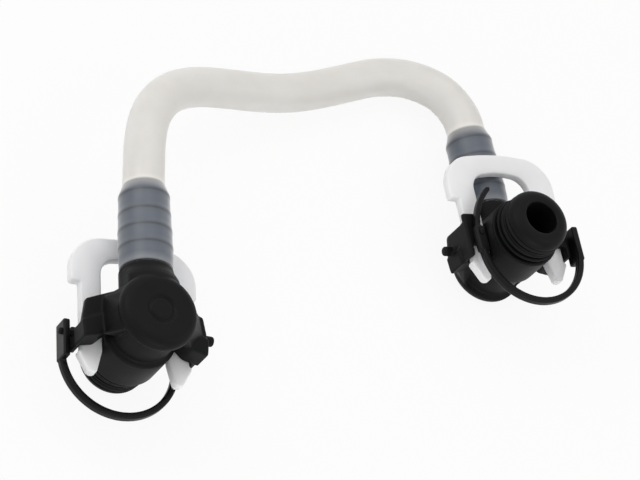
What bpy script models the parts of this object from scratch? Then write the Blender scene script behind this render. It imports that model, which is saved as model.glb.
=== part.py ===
# Fuel transfer line: one formed nylon hose between two identical 90 degree push connectors.
# Metres, Z up. The right connector stands on its round cap at the world origin,
# the left connector stands on its nozzle, and the hose touches the ground between them.
import math
import bpy
import bmesh
from mathutils import Matrix, Vector

MM = 0.001

# Hose
HOSE_OD = 12.0
HOSE_WALL = 2.0
HOSE_SIDES_EXTRA = 7
STRETCH_THINNING = 0.35

# Where the right connector stands relative to the left one, and how far it is turned
SPAN_X = 126.0
SPAN_Y = 53.5
RIGHT_TURN_DEG = 9.2

# Barbed stem and neck of a connector, measured along the hose from the elbow centre
NECK_R = 7.75
NECK_RIM = 16.2
STEM_BORE_R = 3.2
STEM_CORE_R = 4.7
STEM_LENGTH = 26.3
BARB_PLACES = (6.8, 12.2, 17.5, 23.4)
BARB_HEIGHTS = (1.0, 0.9, 0.8, 0.6)
BARB_STEP = 0.35
STEM_TIP_R = 4.2

# Barrel, cap and nozzle of a connector, measured along the nozzle from the elbow centre
CAP_R = 11.5
CAP_DEPTH = 10.0
CAP_ROUND = 2.6
CAP_SIDE = 3.4
BARREL_R = 9.9
COLLAR_R = 11.2
COLLAR_START = 5.0
NOZZLE_STEP = 18.3
NOZZLE_END = 27.5
NOZZLE_R = 10.0
NOZZLE_ROUND = 3.2
FLANGE_R = 10.6
FLANGE_W = 1.0
NOZZLE_BORE_R = 5.2
NOZZLE_BORE_FLOOR = 5.0
INNER_CHAMBER_R = 3.4

# Seal rings on the nozzle
SEAL_SECTION_R = 0.75
SEAL_LAND = 0.7

# Locking clip
CLIP_T = 3.0
LEG_IN = 10.0
LEG_W = 6.2
SHOULDER_W = 2.9
SHOULDER_V = 14.3
CLIP_TIP_LENGTH = 5.8
CLIP_HOOK_OUT = 0.9
BOW_TOP = 30.2
BOW_WIDTH = 6.4
BOW_SAG = 1.6
BOW_CORNER = 9.5
WINDOW_CORNER = 4.5

# Ears that guide the clip legs
EAR_ROOT_TOP = 10.2
EAR_TOP = 5.4
EAR_FREE_TOP = 5.4
EAR_STRAP_TOP = -1.4
EAR_BOTTOM = -6.0
EAR_WALL = 1.5
EAR_FLARE = 0.7
EAR_ARM_START = 1.0
EAR_ARM_T = 2.2
EAR_BOX_PROUD = 0.4
EAR_PLATE_T = 1.8
EAR_PLATE_W = 4.4
EAR_PLATE_FREE_TOP = 8.0
EAR_PLATE_STRAP_TOP = 1.6
EAR_PLATE_BOTTOM = -2.4
GUSSET_RISE = 7.2
GUSSET_INSET = 0.3
GUSSET_START_DEG = -36.0
GUSSET_END_DEG = 44.0
FREE_LUG_R = 1.5
FREE_LUG_V = -0.3
FREE_LUG_W = 3.6
STRAP_LUG_R = 1.0
STRAP_LUG_V = -0.2
LUG_OUT = 1.6
PEG_R = 0.9
PEG_V = 0.4

# Retaining strap
STRAP_T = 2.0
STRAP_W = 2.6
STRAP_LOOP_V = -4.8
STRAP_END_TOP = 3.2
STRAP_END_BOTTOM = -8.0
STRAP_END_DROP = 3.3
STRAP_PAD_W = 3.4
STRAP_PAD_INSET = 3.4
STRAP_PAD_TOP = 2.6
STRAP_TAIL_T = 1.6
STRAP_TAIL_R = 20.6
STRAP_TAIL_START_DEG = 175.0
STRAP_TAIL_END_DEG = 132.0

# Clearances
FIT_GAP = 0.3
HOSE_FIT_GAP = 0.4
SLIDE_GAP = 0.4

# Values tied to the sizes above
HOSE_R = HOSE_OD / 2
HOSE_BORE_R = HOSE_R - HOSE_WALL
BARB_R = [STEM_CORE_R + h for h in BARB_HEIGHTS]
STRETCH_WALL = HOSE_WALL - STRETCH_THINNING
SWOLLEN_R = max(BARB_R) + HOSE_FIT_GAP + STRETCH_WALL
CLIP_W0 = max(NECK_R, SWOLLEN_R) + SLIDE_GAP
CLIP_W1 = CLIP_W0 + CLIP_T
LEG_OUT = LEG_IN + LEG_W
SHOULDER_OUT = LEG_OUT + SHOULDER_W
CLIP_HOOK_V = EAR_BOTTOM - FIT_GAP - 1.1
CLIP_TIP_V = CLIP_HOOK_V - CLIP_TIP_LENGTH
EAR_IN = LEG_OUT + SLIDE_GAP
EAR_OUT = EAR_IN + EAR_WALL
PLATE_W0 = CLIP_W1 + FIT_GAP
PLATE_W1 = PLATE_W0 + EAR_PLATE_T
STRAP_IN = EAR_OUT + SLIDE_GAP
STRAP_OUT = STRAP_IN + STRAP_T
BAND_W0 = PLATE_W1 + FIT_GAP
BAND_W1 = BAND_W0 + STRAP_W
ARM_OUT = EAR_OUT + EAR_FLARE
STRAP_LUG_W = PLATE_W1 - STRAP_LUG_R - 0.3
PAD_U = EAR_OUT - STRAP_PAD_INSET
LOOP_R = (STRAP_IN + STRAP_T / 2 + PAD_U) / 2
LOOP_U = STRAP_IN + STRAP_T / 2 - LOOP_R
TAIL_U = STRAP_TAIL_R - PAD_U - 0.6
BOW_IN = BOW_TOP - BOW_WIDTH
SEAL_R = NOZZLE_R + 0.1 - SEAL_SECTION_R
GROOVE_FLOOR_R = SEAL_R - SEAL_SECTION_R - FIT_GAP
GROOVE_W = 2 * (SEAL_SECTION_R + FIT_GAP)
GROOVE_B0 = NOZZLE_STEP + FLANGE_W
GROOVE_B1 = GROOVE_B0 + GROOVE_W
GROOVE_A0 = GROOVE_B1 + SEAL_LAND
GROOVE_A1 = GROOVE_A0 + GROOVE_W
STEM_TIP = NECK_RIM + STEM_LENGTH
STRAIGHT_END = STEM_TIP + 2.0

# Heights of the two elbow centres and of the hose where it touches the ground
LEFT_Z = NOZZLE_END
RIGHT_Z = CAP_DEPTH
LOW_Z = HOSE_R + 0.02

# Free run of the hose: share of the way from left to right, sideways bulge as a share of
# that distance, share of the left height still kept, share of the right height already reached
HOSE_RUN = (
    (0.004, 0.045, 0.98, 0.00),
    (0.014, 0.112, 0.92, 0.00),
    (0.036, 0.175, 0.83, 0.00),
    (0.076, 0.222, 0.72, 0.00),
    (0.134, 0.249, 0.58, 0.00),
    (0.207, 0.256, 0.44, 0.00),
    (0.296, 0.245, 0.31, 0.00),
    (0.383, 0.231, 0.19, 0.00),
    (0.478, 0.218, 0.09, 0.00),
    (0.572, 0.214, 0.03, 0.00),
    (0.664, 0.216, 0.00, 0.00),
    (0.746, 0.215, 0.00, 0.04),
    (0.822, 0.198, 0.00, 0.17),
    (0.870, 0.175, 0.00, 0.34),
    (0.906, 0.150, 0.00, 0.53),
    (0.940, 0.118, 0.00, 0.73),
    (0.967, 0.081, 0.00, 0.88),
    (0.988, 0.041, 0.00, 0.97),
)
RUN_SAMPLES = 3

ROUND_STEPS = 36
STEM_STEPS = 24


def clear_scene():
    for obj in list(bpy.data.objects):
        bpy.data.objects.remove(obj, do_unlink=True)


def new_collection(name):
    col = bpy.data.collections.new(name)
    bpy.context.scene.collection.children.link(col)
    return col


clear_scene()
PARTS = new_collection("fuel_line")
CUTTERS = new_collection("fuel_line_cutters")


def make_material(name, color, roughness):
    mat = bpy.data.materials.new(name)
    mat.use_nodes = True
    shader = mat.node_tree.nodes["Principled BSDF"]
    shader.inputs["Base Color"].default_value = (color[0], color[1], color[2], 1.0)
    shader.inputs["Roughness"].default_value = roughness
    return mat


BLACK = make_material("connector_black", (0.022, 0.022, 0.024), 0.42)
NYLON = make_material("hose_nylon", (0.80, 0.78, 0.73), 0.35)
WHITE = make_material("clip_white", (0.83, 0.83, 0.84), 0.38)
STRAP = make_material("strap_black", (0.02, 0.02, 0.021), 0.5)
RUBBER = make_material("seal_rubber", (0.018, 0.018, 0.018), 0.6)


def tidy(mesh):
    bm = bmesh.new()
    bm.from_mesh(mesh)
    bmesh.ops.remove_doubles(bm, verts=bm.verts, dist=1e-6)
    bmesh.ops.dissolve_degenerate(bm, edges=bm.edges, dist=1e-7)
    bmesh.ops.recalc_face_normals(bm, faces=bm.faces)
    bm.to_mesh(mesh)
    bm.free()
    return mesh


def to_mesh_object(obj):
    deps = bpy.context.evaluated_depsgraph_get()
    mesh = bpy.data.meshes.new_from_object(obj.evaluated_get(deps))
    name = obj.name
    bpy.data.objects.remove(obj, do_unlink=True)
    solid = bpy.data.objects.new(name, tidy(mesh))
    PARTS.objects.link(solid)
    return solid


def lathe(name, profile, steps):
    # profile: (radius, height) pairs in mm, turned about local Z
    mesh = bpy.data.meshes.new(name)
    verts = [(r * MM, 0.0, h * MM) for r, h in profile]
    edges = [(i, i + 1) for i in range(len(profile) - 1)]
    mesh.from_pydata(verts, edges, [])
    obj = bpy.data.objects.new(name, mesh)
    PARTS.objects.link(obj)
    screw = obj.modifiers.new("turn", "SCREW")
    screw.axis = "Z"
    screw.angle = 2 * math.pi
    screw.steps = steps
    screw.render_steps = steps
    screw.use_merge_vertices = True
    screw.merge_threshold = 0.00001
    return to_mesh_object(obj)


def plate(name, outlines, w0, w1, bevel=0.0):
    # outlines: closed (u, v) loops in mm, the first one outside, pulled from w0 to w1
    curve = bpy.data.curves.new(name, "CURVE")
    curve.dimensions = "2D"
    curve.fill_mode = "BOTH"
    curve.extrude = (w1 - w0) * MM / 2
    for loop in outlines:
        spline = curve.splines.new("POLY")
        spline.points.add(len(loop) - 1)
        for point, (u, v) in zip(spline.points, loop):
            point.co = (u * MM, v * MM, 0.0, 1.0)
        spline.use_cyclic_u = True
    obj = bpy.data.objects.new(name, curve)
    PARTS.objects.link(obj)
    solid = to_mesh_object(obj)
    solid.data.transform(Matrix.Translation((0, 0, (w0 + w1) * MM / 2)))
    if bevel > 0:
        mod = solid.modifiers.new("edges", "BEVEL")
        mod.width = bevel * MM
        mod.segments = 2
        mod.limit_method = "ANGLE"
        mod.angle_limit = math.radians(50)
        solid = to_mesh_object(solid)
    return solid


def block(name, u, v, w, bevel=0.0):
    loop = [(u[0], v[0]), (u[1], v[0]), (u[1], v[1]), (u[0], v[1])]
    return plate(name, [loop], w[0], w[1], bevel)


def turned(obj, matrix):
    obj.data.transform(matrix)
    return obj


ALONG_V = Matrix.Rotation(-math.pi / 2, 4, "X")
ALONG_U = Matrix.Rotation(math.pi / 2, 4, "Y")


def combine(base, other, operation):
    mod = base.modifiers.new("join", "BOOLEAN")
    mod.operation = operation
    mod.solver = "EXACT"
    mod.object = other
    result = to_mesh_object(base)
    bpy.data.objects.remove(other, do_unlink=True)
    return result


def arc(cu, cv, r, a0, a1, count):
    out = []
    for i in range(count + 1):
        a = math.radians(a0 + (a1 - a0) * i / count)
        out.append((cu + r * math.cos(a), cv + r * math.sin(a)))
    return out


def finish(obj, name, material, matrix, smooth_deg):
    obj.name = name
    obj.data.name = name
    obj.data.materials.clear()
    obj.data.materials.append(material)
    obj.data.shade_smooth()
    obj.data.set_sharp_from_angle(angle=math.radians(smooth_deg))
    obj.matrix_world = matrix
    return obj


def stem_profile():
    pts = [(0.0, 0.0), (NECK_R, 0.0), (NECK_R, NECK_RIM - 0.7), (NECK_R - 0.7, NECK_RIM)]
    pts.append((STEM_CORE_R, NECK_RIM))
    for place, radius in zip(BARB_PLACES, BARB_R):
        pts.append((STEM_CORE_R, NECK_RIM + place - BARB_STEP))
        pts.append((radius, NECK_RIM + place))
    pts.append((STEM_TIP_R, STEM_TIP))
    pts.append((0.0, STEM_TIP))
    return pts


def barrel_profile():
    pts = [(0.0, -CAP_DEPTH)]
    pts += [(CAP_R - CAP_ROUND + CAP_ROUND * math.sin(math.radians(a)),
             -CAP_DEPTH + CAP_ROUND - CAP_ROUND * math.cos(math.radians(a))) for a in (0, 30, 60, 90)]
    pts += [
        (CAP_R, -CAP_DEPTH + CAP_SIDE),
        (BARREL_R, -CAP_DEPTH + CAP_SIDE + 0.7),
        (BARREL_R, COLLAR_START - 0.4),
        (COLLAR_R, COLLAR_START),
        (COLLAR_R, NOZZLE_STEP - 0.9),
        (NOZZLE_R - 0.9, NOZZLE_STEP - 0.9),
        (NOZZLE_R - 0.9, NOZZLE_STEP),
        (FLANGE_R, NOZZLE_STEP),
        (FLANGE_R, GROOVE_B0),
        (GROOVE_FLOOR_R, GROOVE_B0),
        (GROOVE_FLOOR_R, GROOVE_B1),
        (NOZZLE_R, GROOVE_B1),
        (NOZZLE_R, GROOVE_A0),
        (GROOVE_FLOOR_R, GROOVE_A0),
        (GROOVE_FLOOR_R, GROOVE_A1),
        (NOZZLE_R, GROOVE_A1),
    ]
    pts += [(NOZZLE_R - NOZZLE_ROUND + NOZZLE_ROUND * math.cos(math.radians(a)),
             NOZZLE_END - NOZZLE_ROUND + NOZZLE_ROUND * math.sin(math.radians(a))) for a in (0, 30, 60, 90)]
    pts.append((0.0, NOZZLE_END))
    return pts


def knob(name, radius, length, axis, place):
    # short round peg with a chamfered end, standing at place and pointing along axis
    pts = [(0, 0), (radius, 0), (radius, length - 0.5), (radius - 0.5, length), (0, length)]
    peg = turned(lathe(name, pts, 16), axis)
    return turned(peg, Matrix.Translation(Vector(place) * MM))


def both_halves(half):
    return half + [(-u, v) for u, v in reversed(half)]


def ear_arm_outline():
    # thin front web that runs from the neck out to both ears
    return both_halves([
        (NECK_R - 1.0, EAR_ROOT_TOP),
        (ARM_OUT - 1.2, EAR_TOP),
        (ARM_OUT, EAR_STRAP_TOP),
        (ARM_OUT - 0.4, EAR_BOTTOM),
        (BARREL_R - 0.9, EAR_BOTTOM + 4.2),
    ])


def ear_root_outline():
    # solid root behind the web, which backs the clip legs
    return both_halves([
        (NECK_R - 1.0, EAR_ROOT_TOP - 0.3),
        (LEG_IN + 3.0, EAR_TOP + 1.6),
        (LEG_IN + 3.0, EAR_STRAP_TOP - 0.4),
        (BARREL_R - 1.2, EAR_BOTTOM + 5.0),
    ])


def ear_box_outline(side):
    # lower half of an ear, with its sloping upper edge
    half = [
        (BARREL_R - 0.7, EAR_STRAP_TOP + 3.6),
        (LEG_IN + 2.2, EAR_STRAP_TOP + 3.1),
        (ARM_OUT + 0.1, EAR_STRAP_TOP),
        (ARM_OUT - 0.3, EAR_BOTTOM - 0.5),
        (BARREL_R + 3.6, EAR_BOTTOM + 0.6),
        (BARREL_R - 0.7, EAR_BOTTOM + 4.6),
    ]
    return [(side * u, v) for u, v in half]


def gusset_foot(side):
    # where a gusset stands on its ear, wider on the free side
    if side > 0:
        return [
            (NECK_R - 0.25, EAR_ROOT_TOP - 1.2),
            (LEG_IN + 2.8, EAR_TOP + 1.2),
            (LEG_IN + 3.2, EAR_STRAP_TOP + 0.6),
            (LEG_IN + 2.8, EAR_BOTTOM + 1.4),
            (BARREL_R - 1.3, EAR_BOTTOM + 1.2),
        ]
    return [
        (NECK_R - 0.25, EAR_ROOT_TOP - 0.8),
        (ARM_OUT - 2.0, EAR_TOP),
        (ARM_OUT - 1.2, EAR_STRAP_TOP + 1.4),
        (LEG_IN + 4.0, EAR_BOTTOM + 1.4),
        (BARREL_R - 0.9, EAR_BOTTOM + 2.0),
    ]


def gusset(name, side):
    # solid fillet that carries an ear up into the side of the cap
    rim = arc(0.0, 0.0, CAP_R - GUSSET_INSET, GUSSET_START_DEG, GUSSET_END_DEG, 4)
    core = [(BARREL_R - 2.9, 1.0)]
    pts = [(u, v, -GUSSET_RISE) for u, v in rim + core]
    pts += [(u, v, EAR_ARM_START + 0.6) for u, v in gusset_foot(side) + core]
    bm = bmesh.new()
    verts = [bm.verts.new((side * u * MM, v * MM, w * MM)) for u, v, w in pts]
    bmesh.ops.convex_hull(bm, input=verts)
    bmesh.ops.delete(bm, geom=[vert for vert in bm.verts if not vert.link_faces], context="VERTS")
    mesh = bpy.data.meshes.new(name)
    bm.to_mesh(mesh)
    bm.free()
    obj = bpy.data.objects.new(name, tidy(mesh))
    PARTS.objects.link(obj)
    return obj


def make_elbow(name, matrix):
    body = lathe("barrel", barrel_profile(), ROUND_STEPS)
    for side in (1, -1):
        notch = block("leg_notch", sorted((side * (LEG_IN - SLIDE_GAP), side * (COLLAR_R + 5))),
                      (-2 * COLLAR_R, 2 * COLLAR_R), (CLIP_W0 - FIT_GAP, CLIP_W1 + FIT_GAP))
        body = combine(body, notch, "DIFFERENCE")
    stem = turned(lathe("stem", stem_profile(), STEM_STEPS), ALONG_V)
    body = combine(body, stem, "UNION")
    box_end = CLIP_W0 - FIT_GAP - 0.05
    ears = plate("ear_arm", [ear_arm_outline()], EAR_ARM_START, EAR_ARM_START + EAR_ARM_T, 0.35)
    root = plate("ear_root", [ear_root_outline()], EAR_ARM_START + 0.7, box_end - 0.05)
    ears = combine(ears, root, "UNION")
    for side, wall_top, plate_top in ((1, EAR_STRAP_TOP + 0.2, EAR_PLATE_STRAP_TOP),
                                      (-1, EAR_FREE_TOP, EAR_PLATE_FREE_TOP)):
        box = plate("ear_box", [ear_box_outline(side)], EAR_ARM_START - EAR_BOX_PROUD, box_end, 0.3)
        ears = combine(ears, box, "UNION")
        wall = block("ear_wall", sorted((side * EAR_IN, side * (EAR_OUT - 0.05))),
                     (EAR_BOTTOM + 0.1, wall_top), (EAR_ARM_START + 1.0, PLATE_W1), 0.3)
        ears = combine(ears, wall, "UNION")
        front = block("ear_plate", sorted((side * (EAR_OUT - EAR_PLATE_W), side * (EAR_OUT - 0.15))),
                      (EAR_PLATE_BOTTOM, plate_top), (PLATE_W0, PLATE_W1 - 0.1), 0.3)
        ears = combine(ears, front, "UNION")
        ears = combine(ears, gusset("ear_gusset", side), "UNION")
    body = combine(body, ears, "UNION")
    lug_root = EAR_OUT - 1.0
    strap_lug = knob("strap_lug", STRAP_LUG_R, STRAP_OUT + LUG_OUT - 0.6 - lug_root, ALONG_U,
                     (lug_root, STRAP_LUG_V, STRAP_LUG_W))
    body = combine(body, strap_lug, "UNION")
    free_lug = knob("free_lug", FREE_LUG_R, LUG_OUT + 1.0 + EAR_FLARE + 1.0, ALONG_U.inverted(),
                    (-lug_root, FREE_LUG_V, FREE_LUG_W))
    body = combine(body, free_lug, "UNION")
    peg = knob("strap_peg", PEG_R, STRAP_W + FIT_GAP + 1.5, Matrix.Identity(4),
               (-PAD_U, PEG_V, PLATE_W1 - 0.8))
    body = combine(body, peg, "UNION")
    chamber_end = -STEM_BORE_R - 0.6
    bore_pts = [
        (0, NOZZLE_END + 2),
        (NOZZLE_BORE_R, NOZZLE_END + 2),
        (NOZZLE_BORE_R, NOZZLE_BORE_FLOOR),
        (INNER_CHAMBER_R, NOZZLE_BORE_FLOOR - 1.2),
        (INNER_CHAMBER_R, chamber_end),
        (0, chamber_end),
    ]
    bore = lathe("nozzle_bore", bore_pts, STEM_STEPS)
    body = combine(body, bore, "DIFFERENCE")
    way_pts = [(0, 0.05), (STEM_BORE_R, 0.05), (STEM_BORE_R, STEM_TIP + 2), (0, STEM_TIP + 2)]
    way = turned(lathe("stem_bore", way_pts, 20), ALONG_V)
    body = combine(body, way, "DIFFERENCE")
    return finish(body, name, BLACK, matrix, 35)


def make_seal(name, place, matrix):
    loop = [(SEAL_R + SEAL_SECTION_R * math.cos(math.radians(a)),
             place + SEAL_SECTION_R * math.sin(math.radians(a))) for a in range(0, 361, 40)]
    return finish(lathe(name, loop, ROUND_STEPS), name, RUBBER, matrix, 60)


def make_clip(name, matrix):
    corner_u = SHOULDER_OUT - BOW_CORNER
    window_u = LEG_IN - WINDOW_CORNER
    half = [(0.0, BOW_TOP), (corner_u / 2, BOW_TOP - BOW_SAG * 0.3)]
    for deg in (5, 22, 39, 56, 73, 90):
        a = math.radians(deg)
        half.append((corner_u + BOW_CORNER * math.sin(a), BOW_TOP - BOW_SAG - BOW_CORNER * (1 - math.cos(a))))
    half += [
        (SHOULDER_OUT, SHOULDER_V + 0.8),
        (SHOULDER_OUT - 0.5, SHOULDER_V),
        (LEG_OUT, SHOULDER_V),
        (LEG_OUT, CLIP_HOOK_V + 1.0),
        (LEG_OUT + CLIP_HOOK_OUT, CLIP_HOOK_V),
        (LEG_IN + 4.0, CLIP_TIP_V),
        (LEG_IN + 1.8, CLIP_TIP_V),
        (LEG_IN, CLIP_HOOK_V + 1.0),
    ]
    for deg in (0, 22, 44, 66, 86):
        a = math.radians(deg)
        half.append((window_u + WINDOW_CORNER * math.cos(a),
                     BOW_IN - BOW_SAG - WINDOW_CORNER * (1 - math.sin(a))))
    half += [(window_u / 2, BOW_IN - BOW_SAG * 0.3), (0.0, BOW_IN)]
    left = [(-u, v) for u, v in reversed(half[1:-1])]
    clip = plate(name, [half + left], CLIP_W0, CLIP_W1, 0.45)
    return finish(clip, name, WHITE, matrix, 40)


def strap_tail_outline():
    # curved tongue that stands up from the pad beside the neck, with a pointed tip
    first, last = STRAP_TAIL_START_DEG, STRAP_TAIL_END_DEG
    outer = arc(TAIL_U, 0.0, STRAP_TAIL_R + STRAP_TAIL_T / 2, first, last, 6)
    tip = arc(TAIL_U, 0.0, STRAP_TAIL_R, last - 3.0, last, 1)[:1]
    inner = arc(TAIL_U, 0.0, STRAP_TAIL_R - STRAP_TAIL_T / 2, last, first, 6)
    return outer + tip + inner


def make_strap(name, matrix):
    outer = arc(LOOP_U, STRAP_LOOP_V, LOOP_R + STRAP_T / 2, 180, 360, 26)
    inner = arc(LOOP_U, STRAP_LOOP_V, LOOP_R - STRAP_T / 2, 360, 180, 26)
    strap = plate(name, [outer + inner], BAND_W0, BAND_W1)
    end = block("strap_end", (STRAP_IN, STRAP_OUT), (STRAP_END_BOTTOM, STRAP_END_TOP),
                (BAND_W0 - STRAP_END_DROP, BAND_W1 + 0.1), 0.25)
    strap = combine(strap, end, "UNION")
    pad = block("strap_pad", (-PAD_U - STRAP_PAD_W / 2, -PAD_U + STRAP_PAD_W / 2),
                (STRAP_LOOP_V - 1.0, STRAP_PAD_TOP), (BAND_W0 + 0.05, BAND_W1 - 0.05), 0.25)
    strap = combine(strap, pad, "UNION")
    tail = plate("strap_tail", [strap_tail_outline()], BAND_W0 + 0.25, BAND_W1 - 0.25)
    strap = combine(strap, tail, "UNION")
    lug_hole = knob("lug_hole", STRAP_LUG_R + FIT_GAP, 12, ALONG_U, (STRAP_IN - 5, STRAP_LUG_V, STRAP_LUG_W))
    strap = combine(strap, lug_hole, "DIFFERENCE")
    peg_hole = knob("peg_hole", PEG_R + FIT_GAP, 12, Matrix.Identity(4), (-PAD_U, PEG_V, BAND_W0 - 5))
    strap = combine(strap, peg_hole, "DIFFERENCE")
    return finish(strap, name, STRAP, matrix, 35)


def connector_matrix(place, turn_deg, flip):
    # local axes: u sideways, v along the hose, w along the nozzle
    turn = Matrix.Rotation(math.radians(turn_deg), 4, "Z")
    roll = Matrix.Rotation(math.pi, 4, "Y") if flip else Matrix.Identity(4)
    return Matrix.Translation(Vector(place) * MM) @ turn @ roll


LEFT_PLACE = (-SPAN_X, -SPAN_Y, LEFT_Z)
RIGHT_PLACE = (0.0, 0.0, RIGHT_Z)
LEFT = connector_matrix(LEFT_PLACE, 0.0, True)
RIGHT = connector_matrix(RIGHT_PLACE, RIGHT_TURN_DEG, False)

for side, matrix in (("left", LEFT), ("right", RIGHT)):
    make_elbow(side + "_elbow_body", matrix)
    make_seal(side + "_seal_ring_front", (GROOVE_A0 + GROOVE_A1) / 2, matrix)
    make_seal(side + "_seal_ring_rear", (GROOVE_B0 + GROOVE_B1) / 2, matrix)
    make_clip(side + "_locking_clip", matrix)
    make_strap(side + "_retaining_strap", matrix)


def end_sections():
    # (place along the stem, bore radius, outer radius) from the neck rim outward
    start = NECK_RIM + FIT_GAP
    base = STEM_CORE_R + HOSE_FIT_GAP + 0.15
    rows = [(start, base, SWOLLEN_R - 0.25)]
    for place, radius in zip(BARB_PLACES, BARB_R):
        crest = NECK_RIM + place
        full = radius + HOSE_FIT_GAP
        rows.append((crest - 0.95, base, full + STRETCH_WALL - 0.12))
        rows.append((crest - 0.4, full, full + STRETCH_WALL))
        rows.append((crest + 0.4, full, full + STRETCH_WALL))
    rows.append((STEM_TIP + 0.4, STEM_TIP_R + HOSE_FIT_GAP, STEM_TIP_R + HOSE_FIT_GAP + HOSE_WALL - 0.2))
    rows.append((STRAIGHT_END, HOSE_BORE_R, HOSE_R))
    return rows


def catmull(p0, p1, p2, p3, t):
    return 0.5 * ((2 * p1) + (p2 - p0) * t + (2 * p0 - 5 * p1 + 4 * p2 - p3) * t * t
                  + (3 * p1 - p0 - 3 * p2 + p3) * t ** 3)


def hose_path():
    # list of (point in mm, bore radius, outer radius) from the left neck to the right neck
    left = Vector(LEFT_PLACE)
    right = Vector(RIGHT_PLACE)
    left_dir = Vector((0, 1, 0))
    turn = math.radians(RIGHT_TURN_DEG)
    right_dir = Vector((-math.sin(turn), math.cos(turn), 0))
    head = [(left + left_dir * v, b, r) for v, b, r in end_sections()]
    tail = [(right + right_dir * v, b, r) for v, b, r in reversed(end_sections())]
    a = head[-1][0]
    b = tail[0][0]
    span = Vector((b.x - a.x, b.y - a.y, 0))
    free = []
    for share, bulge, keep, reach in HOSE_RUN:
        p = Vector((a.x, a.y, 0)) + span * share
        p.y += bulge * span.length
        p.z = LOW_Z + (LEFT_Z - LOW_Z) * keep + (RIGHT_Z - LOW_Z) * reach
        free.append(p)
    knots = [a - left_dir * 4, a] + free + [b, b - right_dir * 4]
    mid = []
    for i in range(1, len(knots) - 2):
        for k in range(RUN_SAMPLES):
            if i == 1 and k == 0:
                continue
            mid.append((catmull(*knots[i - 1:i + 3], k / RUN_SAMPLES), HOSE_BORE_R, HOSE_R))
    return head + mid + tail


def sweep(name, rows):
    # rows: (point in mm, radius in mm)
    curve = bpy.data.curves.new(name, "CURVE")
    curve.dimensions = "3D"
    curve.bevel_depth = MM
    curve.bevel_resolution = int(HOSE_SIDES_EXTRA)
    curve.use_fill_caps = True
    spline = curve.splines.new("POLY")
    spline.points.add(len(rows) - 1)
    for point, (place, radius) in zip(spline.points, rows):
        point.co = (place.x * MM, place.y * MM, place.z * MM, 1.0)
        point.radius = radius
    obj = bpy.data.objects.new(name, curve)
    PARTS.objects.link(obj)
    return to_mesh_object(obj)


def make_hose():
    rows = hose_path()
    outside = sweep("hose", [(p, r) for p, b, r in rows])
    inside = [(p, b) for p, b, r in rows]
    first = inside[0][0] + (inside[0][0] - inside[1][0]).normalized() * 2
    last = inside[-1][0] + (inside[-1][0] - inside[-2][0]).normalized() * 2
    bore = sweep("hose_bore", [(first, inside[0][1])] + inside + [(last, inside[-1][1])])
    hose = combine(outside, bore, "DIFFERENCE")
    return finish(hose, "hose", NYLON, Matrix.Identity(4), 40)


make_hose()
bpy.context.view_layer.update()
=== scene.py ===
import math
import bpy
import bmesh
from mathutils import Matrix, Vector


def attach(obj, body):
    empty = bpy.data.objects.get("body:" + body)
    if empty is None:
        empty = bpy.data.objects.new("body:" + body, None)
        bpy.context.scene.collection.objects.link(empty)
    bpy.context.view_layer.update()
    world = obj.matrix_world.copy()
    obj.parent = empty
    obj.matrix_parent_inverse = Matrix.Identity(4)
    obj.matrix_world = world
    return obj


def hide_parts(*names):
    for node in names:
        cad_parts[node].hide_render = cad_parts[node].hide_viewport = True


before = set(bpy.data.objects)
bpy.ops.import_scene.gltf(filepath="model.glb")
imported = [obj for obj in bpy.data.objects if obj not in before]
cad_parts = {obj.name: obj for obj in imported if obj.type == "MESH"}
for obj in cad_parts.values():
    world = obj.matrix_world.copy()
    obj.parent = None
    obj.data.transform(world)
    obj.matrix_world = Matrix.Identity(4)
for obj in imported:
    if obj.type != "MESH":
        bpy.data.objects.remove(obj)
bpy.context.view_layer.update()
mm = 0.001
print("frame loaded with", len(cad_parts), "nodes")

# where each connector sits: u sideways, v along the hose, w along the nozzle
places = {
    "left": Matrix.Translation((-0.126, -0.0535, 0.0275)) @ Matrix.Rotation(math.pi, 4, "Y"),
    "right": Matrix.Translation((0.0, 0.0, 0.010)) @ Matrix.Rotation(math.radians(9.2), 4, "Z"),
}
alongU = Matrix.Rotation(math.pi / 2, 4, "Y")
alongV = Matrix.Rotation(-math.pi / 2, 4, "X")
alongW = Matrix.Identity(4)


# small bmesh tools, all sizes in mm
def turned(bm, rows, place, steps):  # rows: (radius, height), spun round the Z of place
    verts = [bm.verts.new(place @ Vector((r * mm, 0.0, h * mm))) for r, h in rows]
    edges = [bm.edges.new(pair) for pair in zip(verts, verts[1:])]
    axis = place.to_3x3() @ Vector((0, 0, 1))
    bmesh.ops.spin(bm, geom=verts + edges, cent=place.translation, axis=axis, dvec=(0, 0, 0),
                   angle=2 * math.pi, steps=steps, use_merge=True, use_duplicate=False)


def edgesOf(verts):  # each edge once, in a fixed order
    return list(dict.fromkeys(e for vert in verts for e in vert.link_edges))


def softEdges(bm, edges, width, segments=2):
    bmesh.ops.bevel(bm, geom=edges, offset=width * mm, offset_type="OFFSET", segments=segments,
                    profile=0.5, affect="EDGES", material=-1, clamp_overlap=True)


def block(bm, u, v, w, edge):
    centre = Vector((sum(u), sum(v), sum(w))) * 0.5 * mm
    size = Vector((abs(u[1] - u[0]), v[1] - v[0], w[1] - w[0])) * mm
    fit = Matrix.Translation(centre) @ Matrix.Diagonal(size).to_4x4()
    made = bmesh.ops.create_cube(bm, size=1.0, matrix=fit)
    softEdges(bm, edgesOf(made["verts"]), edge)


def peg(bm, radius, length, place, edge):  # stands on place and runs along its Z
    lift = Matrix.Translation((0, 0, length * mm / 2))
    made = bmesh.ops.create_cone(bm, cap_ends=True, segments=36, radius1=radius * mm, radius2=radius * mm,
                                 depth=length * mm, matrix=place @ lift)
    top = place @ Vector((0, 0, length * mm))
    axis = place.to_3x3() @ Vector((0, 0, 1))
    rim = [e for e in edgesOf(made["verts"]) if all((vert.co - top).dot(axis) > -1e-6 for vert in e.verts)]
    softEdges(bm, rim, edge)


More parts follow.
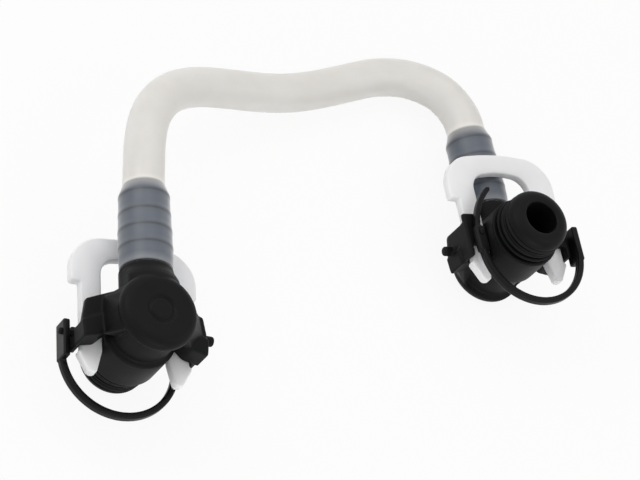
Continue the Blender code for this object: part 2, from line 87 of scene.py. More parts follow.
def slab(bm, corners, w0, w1, roundings):  # few corners, rounded by vertex bevels, pulled from w0 to w1
    verts = [bm.verts.new((u * mm, v * mm, w0 * mm)) for u, v in corners]
    bm.faces.new(verts)
    for index, (offset, segments) in roundings.items():
        bmesh.ops.bevel(bm, geom=[verts[index]], offset=offset * mm, offset_type="OFFSET", segments=segments,
                        profile=0.5, affect="VERTICES", material=-1, clamp_overlap=True)
    level = [f for f in bm.faces if abs(f.normal.z) > 0.9 or not f.normal.length]
    face = max(level, key=lambda f: len(f.verts))
    made = bmesh.ops.extrude_face_region(bm, geom=[face], use_keep_orig=True)
    raised = [g for g in made["geom"] if isinstance(g, bmesh.types.BMVert)]
    bmesh.ops.translate(bm, verts=raised, vec=(0, 0, (w1 - w0) * mm))


def clean(bm):
    bmesh.ops.remove_doubles(bm, verts=bm.verts, dist=2e-6)
    bmesh.ops.recalc_face_normals(bm, faces=bm.faces)


def joinInto(bm, other):
    mesh = bpy.data.meshes.new("join")
    other.to_mesh(mesh)
    other.free()
    bm.from_mesh(mesh)
    bpy.data.meshes.remove(mesh)


def evaluated(obj):  # the finished mesh as a new bmesh, and the object is dropped
    mesh = bpy.data.meshes.new_from_object(obj.evaluated_get(bpy.context.evaluated_depsgraph_get()))
    bpy.data.objects.remove(obj)
    bm = bmesh.new()
    bm.from_mesh(mesh)
    bpy.data.meshes.remove(mesh)
    return bm


def fused(bm, voxel, rounds):  # grows moulded fillets where the shapes meet
    clean(bm)
    mesh = bpy.data.meshes.new("fuse")
    bm.to_mesh(mesh)
    bm.free()
    obj = bpy.data.objects.new("fuse", mesh)
    bpy.context.scene.collection.objects.link(obj)
    remesh = obj.modifiers.new("voxels", "REMESH")
    remesh.mode = "VOXEL"
    remesh.voxel_size = voxel * mm
    settle = obj.modifiers.new("settle", "SMOOTH")
    settle.factor = 0.5
    settle.iterations = rounds
    return evaluated(obj)


def arcRows(r0, h0, radius, startDeg, endDeg, count):
    rows = []
    for i in range(count + 1):
        a = math.radians(startDeg + (endDeg - startDeg) * i / count)
        rows.append((r0 + radius * math.cos(a), h0 + radius * math.sin(a)))
    return rows


def placed(name, bm, place, material, body, node, sharpDeg=180):
    mesh = bpy.data.meshes.new(name)
    bm.to_mesh(mesh)
    bm.free()
    mesh.transform(place)
    mesh.shade_smooth()
    if sharpDeg < 180:
        mesh.set_sharp_from_angle(angle=math.radians(sharpDeg))
    mesh.materials.append(material)
    obj = bpy.data.objects.new(name, mesh)
    bpy.context.scene.collection.objects.link(obj)
    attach(obj, body)
    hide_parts(node)
    return obj


# fine grain for the bump and slow clouds for tint and gloss, shared by all finishes
def mouldGrainGroup():
    group = bpy.data.node_groups.new("mouldGrain", "ShaderNodeTree")
    nodes, links = group.nodes, group.links
    noises = {"Grain": (1800.0, 3.0), "Cloud": (90.0, 4.0)}
    for name, (scale, _) in noises.items():
        socket = group.interface.new_socket(name + " Scale", in_out="INPUT", socket_type="NodeSocketFloat")
        socket.default_value = scale
        group.interface.new_socket(name, in_out="OUTPUT", socket_type="NodeSocketFloat")
    given = nodes.new("NodeGroupInput")
    out = nodes.new("NodeGroupOutput")
    coord = nodes.new("ShaderNodeTexCoord")
    for name, (_, detail) in noises.items():
        noise = nodes.new("ShaderNodeTexNoise")
        noise.inputs["Detail"].default_value = detail
        links.new(coord.outputs["Object"], noise.inputs["Vector"])
        links.new(given.outputs[name + " Scale"], noise.inputs["Scale"])
        links.new(noise.outputs["Fac"], out.inputs[name])
    return group


mouldGrain = mouldGrainGroup()


def ramp(nodes, stops):
    node = nodes.new("ShaderNodeValToRGB")
    for element, (place, color) in zip(node.color_ramp.elements, stops):
        element.position = place
        element.color = (*color, 1.0)
    return node


def newFinish(name, s):  # material with the grain's bump and gloss, and its cloud output for the colour
    mat = bpy.data.materials.new(name)
    mat.use_nodes = True
    nodes, links = mat.node_tree.nodes, mat.node_tree.links
    shader = nodes["Principled BSDF"]
    grain = nodes.new("ShaderNodeGroup")
    grain.node_tree = mouldGrain
    grain.inputs["Grain Scale"].default_value = s["grain"]
    grain.inputs["Cloud Scale"].default_value = s["cloud"]
    rough = nodes.new("ShaderNodeMapRange")
    for key, value in zip(("From Min", "From Max", "To Min", "To Max"), (*s["cloudSpan"], *s["rough"])):
        rough.inputs[key].default_value = value
    links.new(grain.outputs["Cloud"], rough.inputs["Value"])
    links.new(rough.outputs["Result"], shader.inputs["Roughness"])
    lift = nodes.new("ShaderNodeBump")
    lift.inputs["Strength"].default_value = s["bump"]
    lift.inputs["Distance"].default_value = 0.0002
    links.new(grain.outputs["Grain"], lift.inputs["Height"])
    links.new(lift.outputs["Normal"], shader.inputs["Normal"])
    tint = ramp(nodes, [(0.3, s["dark"]), (0.7, s["light"])])
    links.new(grain.outputs["Cloud"], tint.inputs["Fac"])
    for socket, value in s["shader"].items():
        shader.inputs[socket].default_value = value
    return mat, shader, tint


mouldings = {
    "connectorBlack": {
        "dark": (0.0032, 0.0032, 0.0036), "light": (0.0056, 0.0056, 0.0062), "rough": (0.40, 0.54),
        "cloudSpan": (0.3, 0.7), "bump": 0.25, "grain": 1700.0, "cloud": 110.0,
        "shader": {"Specular IOR Level": 0.10},
    },
    "strapBlack": {
        "dark": (0.0028, 0.0028, 0.0031), "light": (0.005, 0.005, 0.0054), "rough": (0.30, 0.42),
        "cloudSpan": (0.3, 0.7), "bump": 0.15, "grain": 1500.0, "cloud": 130.0,
        "shader": {"Specular IOR Level": 0.14},
    },
    "sealRubber": {
        "dark": (0.006, 0.006, 0.006), "light": (0.010, 0.010, 0.010), "rough": (0.50, 0.62),
        "cloudSpan": (0.3, 0.7), "bump": 0.2, "grain": 2200.0, "cloud": 200.0,
        "shader": {"Specular IOR Level": 0.10},
    },
    "clipMilk": {
        "dark": (0.83, 0.83, 0.84), "light": (0.89, 0.89, 0.90), "rough": (0.34, 0.46),
        "cloudSpan": (0.3, 0.7), "bump": 0.12, "grain": 1200.0, "cloud": 70.0,
        "shader": {"Subsurface Weight": 0.6, "Subsurface Radius": (1.0, 1.0, 1.05), "Subsurface Scale": 0.004},
    },
}


def moulded(name, s):
    mat, shader, tint = newFinish(name, s)
    mat.node_tree.links.new(tint.outputs["Color"], shader.inputs["Base Color"])
    return mat


finishes = {name: moulded(name, s) for name, s in mouldings.items()}

hoseWall = {
    "dark": (0.77, 0.735, 0.68), "light": (0.85, 0.815, 0.76), "rough": (0.30, 0.42),
    "cloudSpan": (0.0, 1.0), "bump": 0.08, "grain": 900.0, "cloud": 55.0,
    "shader": {"Subsurface Weight": 0.8, "Subsurface Radius": (1.0, 0.96, 0.88), "Subsurface Scale": 0.004,
               "Sheen Weight": 0.18, "Sheen Roughness": 0.35},
}
hoseOverStem = {
    **hoseWall, "rough": (0.40, 0.50), "slate": (0.058, 0.074, 0.102), "ring": (0.008, 0.011, 0.017),
    "shader": {**hoseWall["shader"], "Subsurface Weight": 0.1, "Sheen Weight": 1.0,
               "Coat Weight": 0.8, "Coat Roughness": 0.5},
}


# the stretched wall takes the slate tone of the stem in it, with a dark ring and a painted soft shadow at each
# barb
def stemFinish(name, s):
    mat, shader, milk = newFinish(name, s)
    nodes, links = mat.node_tree.nodes, mat.node_tree.links
    shade = nodes.new("ShaderNodeAttribute")
    shade.attribute_name = "stemShade"
    slate = ramp(nodes, [(0.0, s["slate"]), (1.0, s["ring"])])
    links.new(shade.outputs["Fac"], slate.inputs["Fac"])
    milky = nodes.new("ShaderNodeAttribute")
    milky.attribute_name = "wallMilk"
    both = nodes.new("ShaderNodeMix")
    both.data_type = "RGBA"
    links.new(milky.outputs["Fac"], both.inputs["Factor"])
    links.new(slate.outputs["Color"], both.inputs["A"])
    links.new(milk.outputs["Color"], both.inputs["B"])
    links.new(both.outputs["Result"], shader.inputs["Base Color"])
    return mat


finishes["hoseMilk"] = moulded("hoseMilk", hoseWall)
finishes["hoseOverStem"] = stemFinish("hoseOverStem", hoseOverStem)
print("finishes made")

elbow = {
    "capR": 11.5, "capDepth": 10.0, "capRound": 2.9, "capSide": 3.4, "capSlope": 0.8,
    "ringIn": 3.1, "ringOut": 4.3, "ringDeep": 0.45, "ringSlope": 0.25,
    "barrelR": 9.9, "collarR": 11.2, "collarStart": 5.0, "collarSlope": 0.6,
    "stepW": 18.3, "stepBack": 1.0, "stepIn": 0.9, "flangeR": 10.6,
    "noseR": 10.0, "noseEnd": 27.5, "noseRound": 3.2, "grooveR": 8.3, "grooves": ((19.3, 21.4), (22.1, 24.2)),
    "boreR": 5.2, "boreFloor": 8.0, "boreChamfer": 0.4, "barrelSteps": 96,
    "neckR": 7.75, "neckStart": 5.4, "rim": 16.2, "rimRound": 0.8, "rimBreak": 0.25, "neckSteps": 64,
    "stemCore": 4.7, "stemBore": 3.2, "stemRoot": 1.0, "stemEnd": 42.5, "tipR": 4.2, "barbStep": 0.35,
    "barbs": ((6.8, 5.7), (12.2, 5.6), (17.5, 5.5), (23.4, 5.3)),
    "clipW": (8.15, 11.15), "clipGap": 0.3, "legFlat": 9.6, "legFlatFrom": 9.0,
    "flare": ((0.0, 4.0), (9.7, 4.0), (9.7, 10.2), (9.45, 11.4),
              (8.9, 12.6), (8.2, 13.8), (7.7, 15.0), (0.0, 15.0)), "flareTop": 1.0,
    "web": ((6.75, 10.2), (17.6, 5.4), (18.8, -1.4), (18.4, -6.0), (9.0, -1.8)), "webW": (1.0, 3.2),
    "root": ((6.75, 9.9), (13.0, 7.0), (13.0, -1.8), (8.7, -1.0)), "rootW": (1.7, 7.75),
    "box": ((9.2, 2.2), (12.2, 1.7), (18.9, -1.4), (18.5, -6.5), (13.5, -5.4), (9.2, -1.4)),
    "boxW": (0.35, 7.8),
    "wallU": (16.6, 18.05), "wallV": {1: (-5.9, -1.2), -1: (-5.9, 5.4)}, "wallW": (2.0, 13.25),
    "plateU": (13.7, 17.95), "plateV": {1: (-2.4, 1.6), -1: (-2.4, 8.0)}, "plateW": (11.45, 13.2),
    "earEdge": 0.35,
    "gussetDeg": (-36, -16, 4, 24, 44), "gussetR": 11.2, "gussetTop": -7.2, "gussetFoot": 1.6,
    "gusset": {1: ((7.5, 9.0), (12.8, 6.6), (13.2, -0.8), (12.8, -4.6), (8.6, -4.8)),
               -1: ((7.5, 9.4), (16.8, 5.4), (17.6, 0.0), (14.0, -4.6), (9.0, -4.0))},
    "gussetCore": (7.0, 1.0),
    # lugs and peg: radius, length, edge, foot and the way they point
    "lugs": ((1.0, 4.4, 0.35, (17.1, -0.2, 11.95), alongU),
             (1.5, 4.3, 0.5, (-17.1, -0.3, 3.6), alongU.inverted()),
             (0.9, 4.4, 0.3, (-14.7, 0.4, 12.45), alongW)),
    "voxel": 0.29, "settle": 3,
}


def barrelRows(s):
    face = -s["capDepth"]
    side = face + s["capSide"]
    floor = face + s["ringDeep"]
    rows = [(0, face), (s["ringIn"], face), (s["ringIn"] + s["ringSlope"], floor)]
    rows += [(s["ringOut"] - s["ringSlope"], floor), (s["ringOut"], face)]
    rows += arcRows(s["capR"] - s["capRound"], face + s["capRound"], s["capRound"], -90, 0, 6)
    rows += [(s["capR"], side), (s["barrelR"], side + s["capSlope"])]
    rows += [(s["barrelR"], s["collarStart"] - s["collarSlope"]), (s["collarR"], s["collarStart"])]
    rows += [(s["collarR"], s["stepW"] - s["stepBack"]), (s["noseR"] - s["stepIn"], s["stepW"] - s["stepIn"])]
    rows += [(s["noseR"] - s["stepIn"], s["stepW"]), (s["flangeR"], s["stepW"])]
    start = s["flangeR"]
    for low, high in s["grooves"]:
        rows += [(start, low), (s["grooveR"], low), (s["grooveR"], high), (s["noseR"], high)]
        start = s["noseR"]
    rows += arcRows(s["noseR"] - s["noseRound"], s["noseEnd"] - s["noseRound"], s["noseRound"], 0, 90, 7)
    rows += [(s["boreR"] + s["boreChamfer"], s["noseEnd"]), (s["boreR"], s["noseEnd"] - s["boreChamfer"])]
    rows += [(s["boreR"], s["boreFloor"]), (0, s["boreFloor"])]
    return rows


def neckRows(s):
    return [(0, s["neckStart"]), (s["neckR"], s["neckStart"]), (s["neckR"], s["rim"] - s["rimRound"]),
            (s["neckR"] - s["rimBreak"], s["rim"] - s["rimBreak"]), (s["neckR"] - s["rimRound"], s["rim"]),
            (0, s["rim"])]


def stemRows(s):
    root = s["rim"] - s["stemRoot"]
    rows = [(0, root), (s["stemCore"], root)]
    for place, radius in s["barbs"]:
        rows += [(s["stemCore"], s["rim"] + place - s["barbStep"]), (radius, s["rim"] + place)]
    rows += [(s["tipR"], s["stemEnd"]), (s["stemBore"], s["stemEnd"])]
    return rows + [(s["stemBore"], s["rim"]), (0, s["rim"])]


def mirrored(half):
    return list(half) + [(-u, v) for u, v in reversed(half)]


def legFlats(bm, s):  # flats where the clip legs pass the collar
    low, high = s["clipW"][0] - s["clipGap"], s["clipW"][1] + s["clipGap"]
    for w, normal in ((low, -1), (high, 1)):
        bmesh.ops.bisect_plane(bm, geom=bm.verts[:] + bm.edges[:] + bm.faces[:], dist=1e-7,
                               plane_co=(0, 0, w * mm), plane_no=(0, 0, normal))
    slack = 0.01
    for vert in bm.verts:
        between = (low - slack) * mm < vert.co.z < (high + slack) * mm
        if between and abs(vert.co.x) > s["legFlat"] * mm and vert.co.length > s["legFlatFrom"] * mm:
            vert.co.x = math.copysign(s["legFlat"] * mm, vert.co.x)


def neckFlare(bm, s):  # carries the neck softly into the cap, cut low on the clip's side
    flare = bmesh.new()
    turned(flare, s["flare"], alongV, s["neckSteps"])
    for vert in flare.verts:
        vert.co.z = min(vert.co.z, s["flareTop"] * mm)
        vert.co.x = math.copysign(min(abs(vert.co.x), s["neckR"] * mm), vert.co.x)
    clean(flare)
    joinInto(bm, flare)


def gusset(bm, s, sign):  # carries an ear up into the cap's side
    hull = bmesh.new()
    rim = [arcRows(0, 0, s["gussetR"], deg, deg, 1)[0] for deg in s["gussetDeg"]]
    points = [(u, v, s["gussetTop"]) for u, v in (*rim, s["gussetCore"])]
    points += [(u, v, s["gussetFoot"]) for u, v in (*s["gusset"][sign], s["gussetCore"])]
    verts = [hull.verts.new((sign * u * mm, v * mm, w * mm)) for u, v, w in points]
    bmesh.ops.convex_hull(hull, input=verts)
    bmesh.ops.delete(hull, geom=[vert for vert in hull.verts if not vert.link_faces], context="VERTS")
    clean(hull)
    joinInto(bm, hull)


def makeElbow(side, place, s):
    bm = bmesh.new()
    turned(bm, barrelRows(s), alongW, s["barrelSteps"])
    clean(bm)
    legFlats(bm, s)
    turned(bm, neckRows(s), alongV, s["neckSteps"])
    neckFlare(bm, s)
    for corners, reach in ((mirrored(s["web"]), s["webW"]), (mirrored(s["root"]), s["rootW"]),
                           (s["box"], s["boxW"]), ([(-u, v) for u, v in s["box"]], s["boxW"])):
        arm = bmesh.new()
        slab(arm, corners, reach[0], reach[1], {})
        clean(arm)
        softEdges(arm, arm.edges[:], s["earEdge"])
        joinInto(bm, arm)
    for sign in (1, -1):
        gusset(bm, s, sign)
        block(bm, sorted(sign * u for u in s["wallU"]), s["wallV"][sign], s["wallW"], s["earEdge"])
        block(bm, sorted(sign * u for u in s["plateU"]), s["plateV"][sign], s["plateW"], s["earEdge"])
    for radius, length, edge, foot, turn in s["lugs"]:
        peg(bm, radius, length, Matrix.Translation(Vector(foot) * mm) @ turn, edge)
    bm = fused(bm, s["voxel"], s["settle"])
    stem = bmesh.new()
    turned(stem, stemRows(s), alongV, s["neckSteps"])
    clean(stem)
    joinInto(bm, stem)
    placed(side + "ElbowMoulding", bm, place, finishes["connectorBlack"], "line",
           side + "_elbow_body")


for side, place in places.items():
    makeElbow(side, place, elbow)
print("elbow mouldings made")

seals = {"ringR": 9.35, "sectionR": 0.75, "front": 23.15, "rear": 20.35, "sides": 20, "steps": 72}


def makeSeal(side, which, place, s):
    bm = bmesh.new()
    at = Matrix.Translation((s["ringR"] * mm, 0, s[which] * mm)) @ Matrix.Rotation(math.pi / 2, 4, "X")
    made = bmesh.ops.create_circle(bm, cap_ends=False, segments=s["sides"],
                                   radius=s["sectionR"] * mm, matrix=at)
    section = made["verts"] + edgesOf(made["verts"])
    bmesh.ops.spin(bm, geom=section, cent=(0, 0, 0), axis=(0, 0, 1), dvec=(0, 0, 0),
                   angle=2 * math.pi, steps=s["steps"], use_merge=True, use_duplicate=False)
    clean(bm)
    placed(side + "Seal" + which.capitalize(), bm, place, finishes["sealRubber"], "line",
           side + "_seal_ring_" + which)


for side, place in places.items():
    for which in ("front", "rear"):
        makeSeal(side, which, place, seals)
print("seal rings made")

clip = {
    "legIn": 10.0, "legOut": 16.2, "shoulderOut": 19.1, "shoulder": 14.3, "bowTop": 30.2, "bowIn": 23.8,
    "sag": 1.6, "bowDrop": 0.6, "hook": -7.4, "hookRise": 1.0, "hookOut": 0.9,
    "tip": -13.2, "tipSpan": (1.8, 4.0),
    "w0": 8.15, "w1": 11.15, "edge": 0.55, "edgeSegments": 4, "edgeDeg": 60, "sharpDeg": 38,
    # corner roundings by place in the half outline: width and segments
    "middle": {0: (6.0, 6), 10: (3.0, 5)},
    "sides": {1: (9.0, 12), 2: (0.8, 3), 3: (0.5, 3), 5: (0.4, 2), 6: (0.8, 3), 7: (0.8, 3), 9: (4.4, 9)},
}


def makeClip(side, place, s):
    half = [(0, s["bowTop"]), (s["shoulderOut"], s["bowTop"] - s["sag"] - s["bowDrop"]),
            (s["shoulderOut"], s["shoulder"]), (s["legOut"], s["shoulder"]),
            (s["legOut"], s["hook"] + s["hookRise"]), (s["legOut"] + s["hookOut"], s["hook"]),
            (s["legIn"] + s["tipSpan"][1], s["tip"]), (s["legIn"] + s["tipSpan"][0], s["tip"]),
            (s["legIn"], s["hook"] + s["hookRise"]), (s["legIn"], s["bowIn"] - s["sag"]), (0, s["bowIn"])]
    corners = half + [(-u, v) for u, v in reversed(half[1:-1])]
    rounds = dict(s["middle"])
    for i, amount in s["sides"].items():
        rounds[i] = amount
        rounds[len(corners) - i] = amount
    bm = bmesh.new()
    slab(bm, corners, s["w0"], s["w1"], rounds)
    clean(bm)
    rim = [e for e in bm.edges if len(e.link_faces) == 2 and e.calc_face_angle(0) > math.radians(s["edgeDeg"])
           and abs(e.verts[0].co.z - e.verts[1].co.z) < 1e-6]
    softEdges(bm, rim, s["edge"], s["edgeSegments"])
    clean(bm)
    placed(side + "ClipMoulding", bm, place, finishes["clipMilk"], side + "_clip",
           side + "_locking_clip", s["sharpDeg"])


for side, place in places.items():
    makeClip(side, place, clip)
print("locking clips made")

strap = {
    "loopU": 2.4, "loopV": -4.8, "loopR": 17.1, "thick": 2.0, "w0": 13.55, "w1": 16.15,
    "bandEdge": 0.5, "steps": 64,
    "endU": (18.5, 20.5), "endV": (-8.0, 3.2), "endW": (10.25, 16.25), "endEdge": 0.35,
    "padU": (-16.4, -13.0), "padV": (-5.8, 2.6), "padW": (13.6, 16.1), "padEdge": 0.45,
    "tailU": 5.3, "tailR": 20.6, "tailThick": 1.6, "tailDeg": (175, 132), "tailPoint": 3, "tailW": (13.8, 15.9),
    "voxel": 0.24, "settle": 4,
}


def makeStrap(side, place, s):
    bm = bmesh.new()
    middle = s["loopU"] - s["loopR"]
    inner, outer = (middle - s["thick"] / 2) * mm, (middle + s["thick"] / 2) * mm
    corners = [bm.verts.new((u, s["loopV"] * mm, w * mm)) for u, w in
               ((inner, s["w0"]), (outer, s["w0"]), (outer, s["w1"]), (inner, s["w1"]))]
    bm.faces.new(corners)
    bmesh.ops.bevel(bm, geom=corners, offset=s["bandEdge"] * mm, offset_type="OFFSET", segments=3, profile=0.5,
                    affect="VERTICES", material=-1)
    section = bm.verts[:] + bm.edges[:] + bm.faces[:]
    bmesh.ops.spin(bm, geom=section, cent=(s["loopU"] * mm, s["loopV"] * mm, 0), axis=(0, 0, 1), dvec=(0, 0, 0),
                   angle=math.pi, steps=s["steps"], use_merge=False, use_duplicate=False)
    bmesh.ops.holes_fill(bm, edges=[e for e in bm.edges if e.is_boundary], sides=0)
    block(bm, s["endU"], s["endV"], s["endW"], s["endEdge"])
    block(bm, s["padU"], s["padV"], s["padW"], s["padEdge"])
    tail = bmesh.new()  # pointed tongue that stands up beside the neck
    first, last = s["tailDeg"]
    rows = arcRows(s["tailU"], 0, s["tailR"] + s["tailThick"] / 2, first, last, 12)
    rows += arcRows(s["tailU"], 0, s["tailR"], last - s["tailPoint"], last, 1)[:1]
    rows += arcRows(s["tailU"], 0, s["tailR"] - s["tailThick"] / 2, last, first, 12)
    slab(tail, rows, s["tailW"][0], s["tailW"][1], {})
    joinInto(bm, tail)
    bm = fused(bm, s["voxel"], s["settle"])
    placed(side + "StrapBand", bm, place, finishes["strapBlack"], "line", side + "_retaining_strap")


for side, place in places.items():
    makeStrap(side, place, strap)
print("straps made")

hose = {
    "outerR": 6.0, "wall": 1.55, "stemR": 7.72, "start": 16.5, "straightEnd": 44.5, "endRows": 96,
    # swelling over the stem, by height above the neck rim
    "taper": (0.42, 6.8, 23.4), "shrink": (22.6, 27.8), "mouth": (0.22, 4.0), "barbSwell": (0.13, 0.2, 0.9),
    # look over the stem: dark ring and soft shadow at each barb, milky foot and tip
    "ring": (0.95, 0.75, 0.42), "shadow": 0.22, "shadowIn": (-3.2, -0.8), "shadowOut": (-0.6, 0.4),
    "footMilk": (0.14, 0.4, 3.0), "tipMilk": ((0.30, 22.8, 26.3), (0.72, 26.2, 27.1)),
    "sleeveReach": 9, "sleeveStart": 15, "sleeveEnd": 28.3,
    "lowZ": 6.02, "leftZ": 27.5, "rightZ": 10.0, "lead": 4, "samples": 7, "sides": 14,
    # route between the straight ends: share of the span, bulge, and how far each end's height still holds
    "run": ((0.004, 0.045, 0.98, 0.00), (0.014, 0.112, 0.92, 0.00), (0.036, 0.175, 0.83, 0.00),
            (0.076, 0.222, 0.72, 0.00), (0.134, 0.249, 0.58, 0.00), (0.207, 0.256, 0.44, 0.00),
            (0.296, 0.245, 0.31, 0.00), (0.383, 0.231, 0.19, 0.00), (0.478, 0.218, 0.09, 0.00),
            (0.572, 0.214, 0.03, 0.00), (0.664, 0.216, 0.00, 0.00), (0.746, 0.215, 0.00, 0.04),
            (0.822, 0.198, 0.00, 0.17), (0.870, 0.175, 0.00, 0.34), (0.906, 0.150, 0.00, 0.53),
            (0.940, 0.118, 0.00, 0.73), (0.967, 0.081, 0.00, 0.88), (0.988, 0.041, 0.00, 0.97)),
}


def smoothStep(a, b, x):
    t = min(1.0, max(0.0, (x - a) / (b - a)))
    return t * t * (3 - 2 * t)


def hoseRadius(v, s):  # outside radius over the barbs, v measured from the elbow centre
    over = v - elbow["rim"]
    amount, low, high = s["taper"]
    grown = s["stemR"] - amount * smoothStep(low, high, over)
    base = grown + (s["outerR"] - grown) * smoothStep(*s["shrink"], over)
    swell, shift, width = s["barbSwell"]
    for place, _ in elbow["barbs"]:
        base += swell * math.exp(-((over - place + shift) / width) ** 2)
    amount, height = s["mouth"]
    return base - amount * (1 - smoothStep(0.0, height, over))


def hoseKnots(ends, s):  # points the route passes, with one more beyond each end
    a, b = ends["left"][-1][0], ends["right"][-1][0]
    span = Vector((b.x - a.x, b.y - a.y, 0))
    knots = [a - Vector((0, s["lead"] * mm, 0)), a]
    for share, bulge, keep, reach in s["run"]:
        p = Vector((a.x, a.y, 0)) + span * share
        p.y += bulge * span.length
        p.z = (s["lowZ"] + (s["leftZ"] - s["lowZ"]) * keep + (s["rightZ"] - s["lowZ"]) * reach) * mm
        knots.append(p)
    back = (ends["right"][-2][0] - b).normalized()
    return knots + [b, b + back * s["lead"] * mm]


def hoseRows(s):
    ends = {}
    for side, place in places.items():
        step = (s["straightEnd"] - s["start"]) / s["endRows"]
        stretch = [s["start"] + step * i for i in range(s["endRows"] + 1)]
        ends[side] = [(place @ Vector((0, v * mm, 0)), hoseRadius(v, s)) for v in stretch]
    knots = hoseKnots(ends, s)
    middle = []
    for i in range(1, len(knots) - 2):
        p0, p1, p2, p3 = knots[i - 1:i + 3]
        for k in range(s["samples"]):
            t = k / s["samples"]
            q = 0.5 * (2 * p1 + (p2 - p0) * t + (2 * p0 - 5 * p1 + 4 * p2 - p3) * t * t
                       + (3 * p1 - p0 - 3 * p2 + p3) * t ** 3)
            middle.append((q, s["outerR"]))
    return ends["left"] + middle[1:] + list(reversed(ends["right"]))


def sleeveLook(over, s):  # (ring shade, milkiness) at so many mm above the neck rim
    shade = 0.0
    dark, shift, width = s["ring"]
    for place, _ in elbow["barbs"]:
        at = over - place
        ring = dark * math.exp(-((at + shift) / width) ** 2)
        shadow = s["shadow"] * smoothStep(*s["shadowIn"], at) * (1 - smoothStep(*s["shadowOut"], at))
        shade = max(shade, ring, shadow)
    amount, low, high = s["footMilk"]
    milk = amount * (1 - smoothStep(low, high, over))
    for amount, low, high in s["tipMilk"]:
        milk += amount * smoothStep(low, high, over)
    return shade, min(1.0, milk)


def tintSleeves(obj, s):  # marks the wall over both stems and gives it its own finish
    obj.data.materials.append(finishes["hoseOverStem"])
    layers = [obj.data.attributes.new(name, "FLOAT", "POINT") for name in ("stemShade", "wallMilk")]
    inverse = [place.inverted() for place in places.values()]
    sleeve = set()
    for vert in obj.data.vertices:
        look = (0.0, 1.0)
        for back in inverse:
            local = back @ vert.co / mm
            over = local.y - elbow["rim"]
            near = abs(local.x) < s["sleeveReach"] and abs(local.z) < s["sleeveReach"]
            if near and local.y > s["sleeveStart"] and over < s["sleeveEnd"]:
                look = sleeveLook(over, s)
                sleeve.add(vert.index)
        for layer, value in zip(layers, look):
            layer.data[vert.index].value = value
    for face in obj.data.polygons:
        face.material_index = 1 if all(i in sleeve for i in face.vertices) else 0


def makeHose(s):
    rows = hoseRows(s)
    curve = bpy.data.curves.new("hoseRoute", "CURVE")
    curve.dimensions = "3D"
    curve.bevel_depth = mm
    curve.bevel_resolution = s["sides"]
    spline = curve.splines.new("POLY")
    spline.points.add(len(rows) - 1)
    for point, (place, radius) in zip(spline.points, rows):
        point.co = (*place, 1.0)
        point.radius = radius
    route = bpy.data.objects.new("hoseRoute", curve)
    bpy.context.scene.collection.objects.link(route)
    bm = evaluated(route)
    clean(bm)
    outward = sum((f.calc_center_median() - places["left"].translation).dot(f.normal) for f in bm.faces[:200])
    if outward < 0:  # an open tube's normals can come out either way
        bmesh.ops.reverse_faces(bm, faces=bm.faces[:])
    obj = placed("hoseTube", bm, Matrix.Identity(4), finishes["hoseMilk"], "line", "hose")
    tintSleeves(obj, s)
    wall = obj.modifiers.new("wall", "SOLIDIFY")
    wall.thickness = s["wall"] * mm
    wall.offset = -1.0


makeHose(hose)
print("hose made")

studio = {
    "azimuth": -41.32, "elevation": 50.74, "roll": 45.1, "distance": 768.97, "aim": (47.38, 22.97),
    "mmPerPixel": 0.2746, "pixelsWide": 640.0, "sensor": 36.0, "nearest": 0.01, "worldLight": 0.58,
    "floorR": 2.5, "floorZ": -0.0004, "paper": 0.86, "paperRough": 0.9, "paperGlow": 0.9,
    # lamps: place towards the camera, up and right in the picture, lift of their aim, size and watts
    "lamps": {"keySoftbox": ((0.35, 0.45, -0.25), 0.0, 0.45, 1.05),
              "sideSoftbox": ((0.25, 0.05, 0.55), 0.0, 0.35, 0.4),
              "lowSoftbox": ((0.30, -0.45, 0.10), 0.04, 0.45, 1.0),
              "farSoftbox": ((0.25, 0.60, 0.20), 0.06, 0.40, 0.55)},
}


def camera(s):
    a, e, r = (math.radians(s[k]) for k in ("azimuth", "elevation", "roll"))
    back = Vector((math.sin(a) * math.cos(e), -math.cos(a) * math.cos(e), math.sin(e)))
    level = Vector((math.cos(a), math.sin(a), 0))
    up = back.cross(level)
    right = math.cos(r) * level + math.sin(r) * up
    top = -math.sin(r) * level + math.cos(r) * up
    aim = places["left"].translation + (right * s["aim"][0] + top * s["aim"][1]) * mm
    data = bpy.data.cameras.new("photoCamera")
    data.sensor_width = s["sensor"]
    data.lens = s["sensor"] * (s["distance"] / s["mmPerPixel"]) / s["pixelsWide"]
    data.clip_start = s["nearest"]
    obj = bpy.data.objects.new("photoCamera", data)
    turn = Matrix((right, top, back)).transposed().to_4x4()
    turn.translation = aim + back * s["distance"] * mm
    obj.matrix_world = turn
    bpy.context.scene.collection.objects.link(obj)
    bpy.context.scene.camera = obj
    return right, top, back, aim


def softLight(name, where, towards, size, watts):
    data = bpy.data.lights.new(name, "AREA")
    data.shape = "DISK"
    data.size = size
    data.energy = watts
    obj = bpy.data.objects.new(name, data)
    obj.location = where
    obj.rotation_euler = (towards - where).to_track_quat("-Z", "Y").to_euler()
    bpy.context.scene.collection.objects.link(obj)


def seenRay(nodes, links):  # 1 for rays that show the background: straight, in gloss or through glass
    path = nodes.new("ShaderNodeLightPath")
    seen = path.outputs["Is Camera Ray"]
    for name in ("Is Glossy Ray", "Is Transmission Ray"):
        either = nodes.new("ShaderNodeMath")
        either.operation = "MAXIMUM"
        links.new(seen, either.inputs[0])
        links.new(path.outputs[name], either.inputs[1])
        seen = either.outputs["Value"]
    return seen


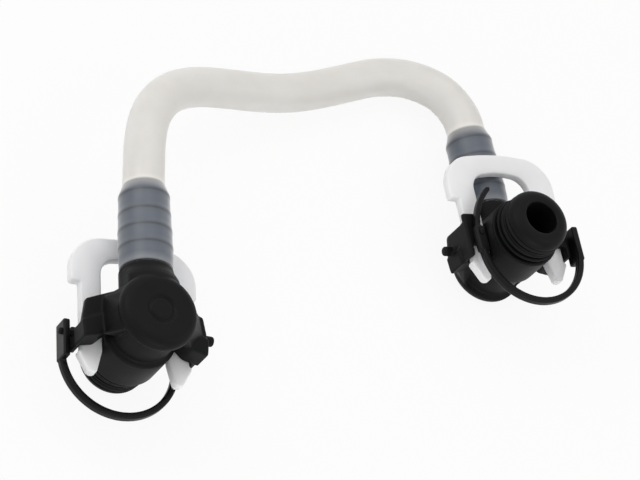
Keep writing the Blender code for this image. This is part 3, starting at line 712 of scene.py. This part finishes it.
def whiteFloor(s):
    bm = bmesh.new()
    bmesh.ops.create_circle(bm, cap_ends=True, segments=96, radius=s["floorR"])
    mesh = bpy.data.meshes.new("paperFloor")
    bm.to_mesh(mesh)
    bm.free()
    mesh.transform(Matrix.Translation((0, 0, s["floorZ"])))
    mat = bpy.data.materials.new("paperWhite")
    mat.use_nodes = True
    nodes, links = mat.node_tree.nodes, mat.node_tree.links
    shader = nodes["Principled BSDF"]
    shader.inputs["Base Color"].default_value = (s["paper"], s["paper"], s["paper"], 1)
    shader.inputs["Roughness"].default_value = s["paperRough"]
    glow = nodes.new("ShaderNodeEmission")
    glow.inputs["Color"].default_value = (1, 1, 1, 1)
    glow.inputs["Strength"].default_value = 1.0
    seen = nodes.new("ShaderNodeMath")
    seen.operation = "MULTIPLY"
    seen.inputs[1].default_value = s["paperGlow"]  # the rest keeps the object's shadow
    both = nodes.new("ShaderNodeMixShader")
    links.new(seenRay(nodes, links), seen.inputs[0])
    links.new(seen.outputs["Value"], both.inputs["Fac"])
    links.new(shader.outputs["BSDF"], both.inputs[1])
    links.new(glow.outputs["Emission"], both.inputs[2])
    links.new(both.outputs["Shader"], nodes["Material Output"].inputs["Surface"])
    mesh.materials.append(mat)
    obj = bpy.data.objects.new("paperFloor", mesh)
    bpy.context.scene.collection.objects.link(obj)


def whiteWorld(strength):
    world = bpy.data.worlds.new("whiteRoom")
    world.use_nodes = True
    nodes, links = world.node_tree.nodes, world.node_tree.links
    sky = nodes["Background"]
    sky.inputs["Color"].default_value = (1, 1, 1, 1)
    level = nodes.new("ShaderNodeMapRange")
    level.inputs["To Min"].default_value = strength
    level.inputs["To Max"].default_value = 1.0
    links.new(seenRay(nodes, links), level.inputs["Value"])
    links.new(level.outputs["Result"], sky.inputs["Strength"])
    bpy.context.scene.world = world


right, top, back, aim = camera(studio)
whiteFloor(studio)
whiteWorld(studio["worldLight"])
for name, ((near, high, sideways), lift, size, watts) in studio["lamps"].items():
    softLight(name, aim + back * near + top * high + right * sideways, aim + top * lift, size, watts)
bpy.context.scene.view_settings.view_transform = "Standard"
print("studio set")
